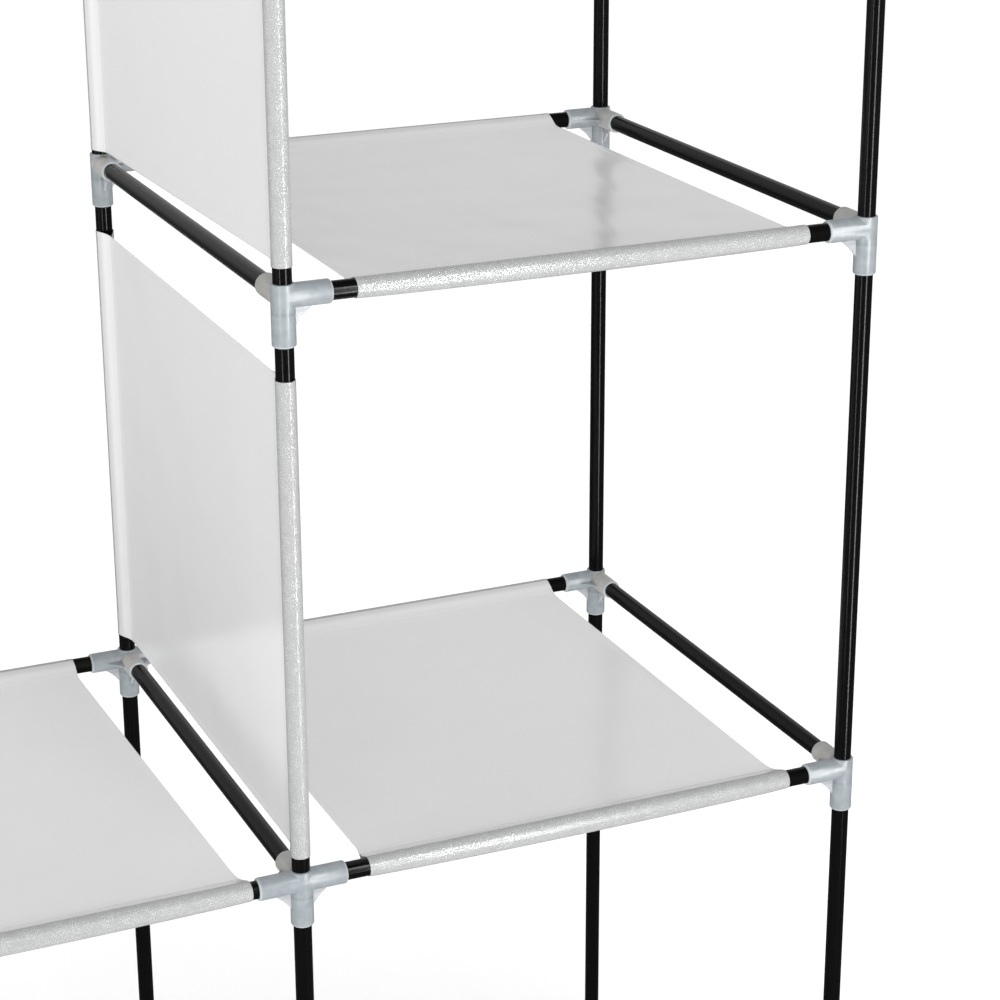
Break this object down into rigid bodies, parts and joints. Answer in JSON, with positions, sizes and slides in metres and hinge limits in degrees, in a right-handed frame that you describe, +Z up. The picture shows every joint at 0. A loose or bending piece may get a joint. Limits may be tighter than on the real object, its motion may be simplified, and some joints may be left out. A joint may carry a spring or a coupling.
{
  "type": "portable fabric wardrobe",
  "caption": "Open portable wardrobe: black steel tubes pushed into grey plastic corner sockets, with pale cloth shelves, cloth dividers and clothes rods, shown without its cover.",
  "frame": {"origin": "on the floor, under the middle of the frame", "axes": "+X to the right seen from the front, +Y to the back, +Z up"},
  "size_m": [0.9026, 0.45, 1.8373],
  "materials": {
    "steel": "gloss",
    "plastic": "satin",
    "cloth": "smooth"
  },
  "bodies": {
    "root": {"post_front_left": "steel", "post_front_middle": "steel", "post_front_right": "steel", "post_rear_left": "steel", "post_rear_middle": "steel", "post_rear_right": "steel", "socket_front_left_low": "plastic", "socket_front_left_second": "plastic", "socket_front_left_top": "plastic", "socket_front_middle_low": "plastic", "socket_front_middle_second": "plastic", "socket_front_middle_third": "plastic", "socket_front_middle_top": "plastic", "socket_front_right_low": "plastic", "socket_front_right_second": "plastic", "socket_front_right_third": "plastic", "socket_front_right_top": "plastic", "socket_rear_left_low": "plastic", "socket_rear_left_second": "plastic", "socket_rear_left_top": "plastic", "socket_rear_middle_low": "plastic", "socket_rear_middle_second": "plastic", "socket_rear_middle_third": "plastic", "socket_rear_middle_top": "plastic", "socket_rear_right_low": "plastic", "socket_rear_right_second": "plastic", "socket_rear_right_third": "plastic", "socket_rear_right_top": "plastic", "depth_rail_left_low": "steel", "depth_rail_left_second": "steel", "depth_rail_left_top": "steel", "depth_rail_middle_low": "steel", "depth_rail_middle_second": "steel", "depth_rail_middle_third": "steel", "depth_rail_middle_top": "steel", "depth_rail_right_low": "steel", "depth_rail_right_second": "steel", "depth_rail_right_third": "steel", "depth_rail_right_top": "steel", "width_rail_front_left_low": "steel", "width_rail_rear_left_low": "steel", "width_rail_front_left_second": "steel", "width_rail_rear_left_second": "steel", "width_rail_front_left_top": "steel", "width_rail_rear_left_top": "steel", "width_rail_front_right_low": "steel", "width_rail_rear_right_low": "steel", "width_rail_front_right_second": "steel", "width_rail_rear_right_second": "steel", "width_rail_front_right_third": "steel", "width_rail_rear_right_third": "steel", "width_rail_front_right_top": "steel", "width_rail_rear_right_top": "steel", "shelf_right_second": "cloth", "shelf_right_third": "cloth", "shelf_left_second": "cloth", "divider_lower": "cloth", "divider_upper": "cloth", "clothes_rod_left": "steel", "clothes_rod_right": "steel"}
  },
  "joints": []
}
